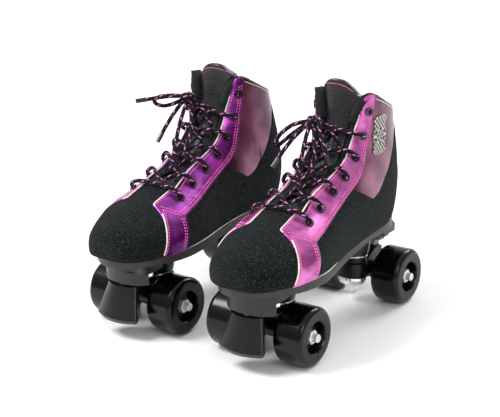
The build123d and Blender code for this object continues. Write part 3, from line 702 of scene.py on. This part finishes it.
def tie_bow(side):
    """The two free lace ends, each round its loop and out to where its aglet sits."""
    for name, route in BOWS[side].items():
        points = nurbs_points(f"{side}_{name}_guide", [placed(side, p) for p in route])
        path = even_path(points, 0.45 * MM)
        verts, faces, uvs = lace_mesh(path, LACE_R_MM * MM)
        cord = new_piece(f"{side}_{name}_lace", verts, faces, "lace", f"{side}_skate", "lace", uvs)
        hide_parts(f"{side}_{name}")


# ---- trucks -------------------------------------------------------------------------------------
def squeezed_cushions(side, end):
    """A truck's two rubber rings, each made a piece of its own with its sharp edges kept."""
    node = f"{side}_{end}_cushions"
    mesh = frame["nodes"][node].data
    lower, upper = sorted(parts_of(node), key=lambda points: points[:, 2].mean())
    split = (lower[:, 2].max() + upper[:, 2].min()) / 2
    axis = upper.mean(0) - lower.mean(0)
    axis /= np.linalg.norm(axis)
    for name, points, toward_hanger in (("lower", lower, axis), ("upper", upper, -axis)):
        polygons = [p for p in mesh.polygons if (p.center.z > split) == (name == "upper")]
        corners = sorted({i for p in polygons for i in p.vertices})
        number = {old: new for new, old in enumerate(corners)}
        faces = [[number[i] for i in p.vertices] for p in polygons]
        verts = [mesh.vertices[i].co.copy() for i in corners]
        ring = new_piece(f"{side}_{end}_{name}_cushion", verts, faces, "cushion", None, "cushion")
        ring.data.set_sharp_from_angle(angle=math.radians(35))
        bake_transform(ring)
        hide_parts(node)


# ---- stitching ----------------------------------------------------------------------------------
def offset_line(line, distance):
    """A line seen from the side, moved sideways by a distance."""
    line = np.array(line, float)
    tangents = np.gradient(line, axis=0)
    tangents /= np.linalg.norm(tangents, axis=1)[:, None]
    return line + np.stack([-tangents[:, 1], tangents[:, 0]], axis=1) * distance


def on_surface(side, tree, hand, spot):
    """The outermost point of a surface at a side-view spot, and its normal."""
    start = placed(side, (hand * BESIDE_MM, *spot))
    inward = PLACES[side].to_3x3() @ Vector((-hand, 0, 0))
    point, normal, _, _ = tree.ray_cast(start, inward, (BESIDE_MM - 5) * MM)
    if point is None:
        return None
    if normal.dot(inward) > 0:
        normal = -normal
    return point, normal


def side_path(side, tree, hand, line, step_mm):
    """Points and normals of a surface along a smoothed side-view line."""
    line = np.array(line, float)
    flat = smooth_path(np.column_stack([line, np.zeros(len(line))]), step_mm)[:, :2]
    spots = [on_surface(side, tree, hand, spot) for spot in flat]
    spots = [spot for spot in spots if spot]
    points = np.array([np.array(point) for point, _ in spots])
    normals = np.array([np.array(normal) for _, normal in spots])
    return points, normals


def stitch_row(side, tree, hand, line, store, pitch_mm=STITCH_PITCH_MM, radius_mm=STITCH_R_MM):
    """Add one row of stitches along a side-view line to a store of verts and faces."""
    path, normals = side_path(side, tree, hand, line, 0.5)
    if len(path) > 3:
        add_row(store, path, normals, pitch_mm, radius_mm)


def add_row(store, path, normals, pitch_mm, radius_mm):
    """Add evenly spaced stitches along a path with normals to a store of verts and faces."""
    along = np.concatenate([[0], np.cumsum(np.linalg.norm(np.diff(path, axis=0), axis=1))])
    for start in np.arange(0.5 * MM, along[-1] - pitch_mm * MM, pitch_mm * MM):
        add_stitch(store, path, normals, along, start, start + 0.74 * pitch_mm * MM, radius_mm * MM)


def add_stitch(store, path, normals, along, start, end, radius):
    """One stitch: a small tube with both ends in the surface."""
    verts, faces = store
    hole_shade_and_rim_highlight = []
    for share, lift in ((0, -0.5), (0.18, 0.25), (0.5, 0.55), (0.82, 0.25), (1, -0.5)):
        at = start + (end - start) * share
        point = np.array([np.interp(at, along, path[:, axis]) for axis in range(3)])
        normal = np.array([np.interp(at, along, normals[:, axis]) for axis in range(3)])
        hole_shade_and_rim_highlight.append(point + normal / np.linalg.norm(normal) * lift * radius)
    tangent = hole_shade_and_rim_highlight[-1] - hole_shade_and_rim_highlight[0]
    tangent /= np.linalg.norm(tangent) + 1e-12
    side_way = np.cross(tangent, normal)
    side_way /= np.linalg.norm(side_way) + 1e-12
    up = np.cross(side_way, tangent)
    first = len(verts)
    sides = range(STITCH_SIDES)
    for centre in hole_shade_and_rim_highlight:
        for turn in sides:
            angle = turn * 2 * math.pi / STITCH_SIDES
            verts.append(centre + (side_way * math.cos(angle) + up * math.sin(angle)) * radius)
    last = first + (len(hole_shade_and_rim_highlight) - 1) * STITCH_SIDES
    for row in range(first, last, STITCH_SIDES):
        for turn in sides:
            a = row + turn
            b = row + (turn + 1) % STITCH_SIDES
            faces.append((a, b, b + STITCH_SIDES, a + STITCH_SIDES))
    faces.append(tuple(first + turn for turn in sides)[::-1])
    faces.append(tuple(last + turn for turn in sides))


def sew(side):
    """All the pink stitching of one skate."""
    tree = node_tree(f"{side}_eyestays")
    store = ([], [])
    for hand in (1, -1):
        for inset in (2.2, 4.6):
            stitch_row(side, tree, hand, offset_line(STRAP_LINE, inset), store)
            stitch_row(side, tree, hand, offset_line(LEG_BACK[::-1], inset), store)
        stitch_row(side, tree, hand, offset_line(LEG_FRONT[::-1], -2.4), store)
        stitch_row(side, tree, hand, offset_line(THROAT_LINE, -2.4), store)
        for inset in (-1.2, 1.2):
            stitch_row(side, tree, hand, offset_line(SEAM, inset), store)
        add_row(store, *corner_path(side, tree, hand, 2.6, 0), STITCH_PITCH_MM, STITCH_R_MM)
    new_piece(f"{side}_stitches", *store, "thread", f"{side}_skate", "strap")
    panel = node_tree(f"{side}_collar")
    top = ([], [])
    for hand in (1, -1):
        stitch_row(side, panel, hand, offset_line(TOP_LINE, -1.8), top, 2.8, 0.42)
    new_piece(f"{side}_top_stitches", *top, "cream", f"{side}_skate", "foil")


def surface_path(side, tree, hand, line, lift_mm):
    """Points so far out of a surface along a side-view line."""
    points, normals = side_path(side, tree, hand, line, 0.8)
    return points + normals * lift_mm * MM


def round_strip(store, path, radius, around=8):
    """Add a plain tube along a path to a store of verts and faces."""
    verts, faces, _ = lace_mesh(path, radius, around)
    first = len(store[0])
    store[0].extend(verts)
    store[1].extend(tuple(first + i for i in face) for face in faces)


def welt_path(side):
    """The line where the upper meets the sole, just above the sole's upper face."""
    points = node_points(f"{side}_outsole")
    top = points[:, 2].max()
    rim = points[points[:, 2] > top - 0.01 * MM][:, :2]
    centre = (rim.min(0) + rim.max(0)) / 2
    angles = np.arctan2(rim[:, 1] - centre[1], (rim[:, 0] - centre[0]) * 2)
    reach = np.linalg.norm(rim - centre, axis=1)
    edge = {}
    for angle, distance, point in zip(np.round(angles, 1), reach, rim):
        if angle not in edge or edge[angle][0] < distance:
            edge[angle] = (distance, point)
    ring = np.array([edge[angle][1] for angle in sorted(edge)])
    ring = ring + (centre - ring) / np.linalg.norm(ring - centre, axis=1)[:, None] * 2.0 * MM
    ring = np.column_stack([ring, np.full(len(ring), top + 0.35 * MM)])
    return smooth_path([*ring, ring[0]], 1.0 * MM)


def corner_path(side, tree, hand, inset, lift_mm):
    """Places and normals round the eyestay's corner over the toe, from the throat to its leg."""
    inner = CORNER_HALF + inset
    front = CORNER_FRONT + inset
    route = [(inner, y) for y in np.linspace(-66, front + 3, 24)]
    route += [(inner + 0.9, front + 0.9)]
    route += [(x, front) for x in np.linspace(inner + 3, 38, 20)]
    down = PLACES[side].to_3x3() @ Vector((0, 0, -1))
    places, normals = [], []
    for x, y in route:
        hit, normal, _, _ = tree.ray_cast(placed(side, (hand * x, y, 200)), down, 0.11)
        if hit and (PLACES[side].inverted() @ hit).z > (LEG_FRONT[0][1] + 1.5) * MM:
            places.append(np.array(hit + normal * lift_mm * MM))
            normals.append(np.array(normal))
    return np.array(places), np.array(normals)


def cut_edges(side):
    """The pale cut edges of the straps, and the pale line between upper and sole."""
    tree = node_tree(f"{side}_eyestays")
    store = ([], [])
    for hand in (1, -1):
        corner, _ = corner_path(side, tree, hand, 0.5, -0.2)
        round_strip(store, smooth_path(corner, 0.8 * MM), EDGE_R_MM * MM)
        for line, inset in ((LEG_FRONT[::-1], 0.5), (THROAT_LINE, 0.4)):
            path = surface_path(side, tree, hand, offset_line(line, -inset), -0.2)
            if len(path) > 3:
                round_strip(store, smooth_path(path[::6], 0.8 * MM), EDGE_R_MM * MM)
    round_strip(store, welt_path(side), 0.55 * MM)
    new_piece(f"{side}_cut_edges", *store, "cream", f"{side}_skate", "strap")


def collar_roll(side):
    """The fuzzy padding that shows over the collar's edge, thickest at the top of the throat."""
    tree = node_tree(f"{side}_lining")
    back = [(34, 226.5), (44, 227.5), (60, 219.5), (84, 208), (104, 203)]
    front = [(28.5, 205), (32, 216), (37, 224.5), (46, 226), (57, 219.5)]
    halves = [surface_path(side, tree, hand, back, -2.4) for hand in (1, -1)]
    forward = PLACES[side].to_3x3() @ Vector((0, -1, 0))
    store = ([], [])
    round_strip(store, smooth_path([*halves[0][::8], *halves[1][::-8]], 0.8 * MM), 2.7 * MM, around=20)
    for hand in (1, -1):
        pad = surface_path(side, tree, hand, front, -4.6) + np.array(forward) * 4 * MM
        round_strip(store, smooth_path(pad[::8], 0.8 * MM), 5.0 * MM, around=28)
    noise.seed_set(FUZZ_SEED)
    verts = [v + fuzz(v) for v in store[0]]
    new_piece(f"{side}_collar_roll", verts, store[1], "lining", f"{side}_skate", "lining")


def fuzz(point):
    """A short random move of a point in a pile's surface."""
    place = Vector(point) / MM
    return np.array(noise.noise_vector(place * 0.8)) * 0.5 * MM + np.array(
        noise.noise_vector(place * 2.1)) * 0.25 * MM


def tongue_stitches(side):
    """The pink stitches along the tongue's top."""
    tree = node_tree(f"{side}_tongue")
    forward = PLACES[side].to_3x3() @ Vector((0, 1, 0))
    store = ([], [])
    points = []
    for x in np.linspace(-TONGUE_HALF_MM + 1, TONGUE_HALF_MM - 1, 60):
        z = 239.5 - TONGUE_CORNER_MM * (abs(x) / TONGUE_HALF_MM) ** 2.5
        hit, normal, _, _ = tree.ray_cast(placed(side, (x, -40, z)), forward, 0.2)
        if hit:
            points.append((hit - forward * 0.9 * MM, -forward))
    path = np.array([np.array(point) for point, normal in points])
    normals = np.array([np.array(normal) for point, normal in points])
    add_row(store, path, normals, 3.0, 0.33)
    new_piece(f"{side}_tongue_stitches", *store, "thread", f"{side}_skate", "tongue")


# ---- camera, light and floor --------------------------------------------------------------------
CAMERA_FROM_LEFT_MM = (640.8, -1013.4, 530.6)  # from the left skate's origin
CAMERA_AZIMUTH = 35.514
CAMERA_ELEVATION = 18.856
CAMERA_ROLL = -1.29
CAMERA_LENS_MM = 92.83
CAMERA_SENSOR_MM = 36


def add_camera():
    """The camera at the product picture's viewing angle."""
    azimuth = math.radians(CAMERA_AZIMUTH)
    elevation = math.radians(CAMERA_ELEVATION)
    back = Vector((math.sin(azimuth) * math.cos(elevation), -math.cos(azimuth) * math.cos(elevation),
                   math.sin(elevation)))
    level = Vector((math.cos(azimuth), math.sin(azimuth), 0))
    up = back.cross(level)
    roll = math.radians(CAMERA_ROLL)
    right = level * math.cos(roll) + up * math.sin(roll)
    top = up * math.cos(roll) - level * math.sin(roll)
    turn = Matrix((right, top, back)).transposed()
    data = bpy.data.cameras.new("camera")
    data.sensor_width = CAMERA_SENSOR_MM
    data.lens = CAMERA_LENS_MM
    camera = bpy.data.objects.new("camera", data)
    place = PLACES["left"].translation + Vector(CAMERA_FROM_LEFT_MM) * MM
    camera.matrix_world = Matrix.Translation(place) @ turn.to_4x4()
    bpy.context.scene.collection.objects.link(camera)
    bpy.context.scene.camera = camera


def add_area(name, place, size, power, color=(1, 1, 1)):
    """A square soft light that faces the skates."""
    data = bpy.data.lights.new(name, "AREA")
    data.size = size
    data.energy = power
    data.color = color
    lamp = bpy.data.objects.new(name, data)
    lamp.location = place
    lamp.rotation_euler = (Vector((0, 0, 0.1)) - Vector(place)).to_track_quat("-Z", "Y").to_euler()
    bpy.context.scene.collection.objects.link(lamp)


def add_surround():
    """A pale surround, brightest overhead, so that glossy faces show some light and shade."""
    world = bpy.data.worlds.new("surround")
    bpy.context.scene.world = world
    world.use_nodes = True
    tree = world.node_tree
    place = tree.nodes.new("ShaderNodeTexCoord")
    split = tree.nodes.new("ShaderNodeSeparateXYZ")
    ramp = tree.nodes.new("ShaderNodeValToRGB")
    ramp.color_ramp.elements[0].position = 0.0
    ramp.color_ramp.elements[0].color = (0.30, 0.31, 0.33, 1)
    ramp.color_ramp.elements[1].position = 0.8
    ramp.color_ramp.elements[1].color = (1, 1, 1, 1)
    tree.links.new(place.outputs["Generated"], split.inputs[0])
    tree.links.new(split.outputs["Z"], ramp.inputs["Fac"])
    tree.links.new(ramp.outputs["Color"], tree.nodes["Background"].inputs["Color"])
    tree.nodes["Background"].inputs["Strength"].default_value = 0.85


def add_studio():
    """A white floor that runs up into a backdrop, and soft lights."""
    bpy.context.scene.view_settings.view_transform = "Standard"
    add_surround()
    add_area("key", (-0.9, -0.9, 1.7), 0.8, 42)
    add_area("fill", (1.8, -0.6, 0.9), 0.7, 9)
    add_area("back", (0.4, 1.6, 1.3), 1.0, 22)
    profile = [(-6.0, 0.0), (1.6, 0.0)]
    profile += [(1.6 + math.sin(a) * 0.8, 0.8 - math.cos(a) * 0.8) for a in np.linspace(0.15, 1.5, 10)]
    profile.append((2.42, 5.0))
    turn = Matrix.Rotation(math.radians(CAMERA_AZIMUTH), 3, "Z")
    verts = [turn @ Vector((x, y, z - 0.0001)) for y, z in profile for x in (-6.0, 6.0)]
    faces = [(2 * i, 2 * i + 1, 2 * i + 3, 2 * i + 2) for i in range(len(profile) - 1)]
    mesh = bpy.data.meshes.new("floor")
    mesh.from_pydata([tuple(v) for v in verts], [], faces)
    mesh.polygons.foreach_set("use_smooth", [True] * len(faces))
    white = Shader("white_floor", Roughness=0.6)
    white.surface.inputs["Base Color"].default_value = (0.92, 0.92, 0.925, 1)
    mesh.materials.append(white.material)
    floor = bpy.data.objects.new("floor", mesh)
    bpy.context.scene.collection.objects.link(floor)


dress_nodes()
for side in SIDES:
    dress_upper(side)
    lace_up(side)
    tie_bow(side)
    sew(side)
    cut_edges(side)
    collar_roll(side)
    tongue_stitches(side)
    for end in ("front", "rear"):
        squeezed_cushions(side, end)
add_camera()
add_studio()
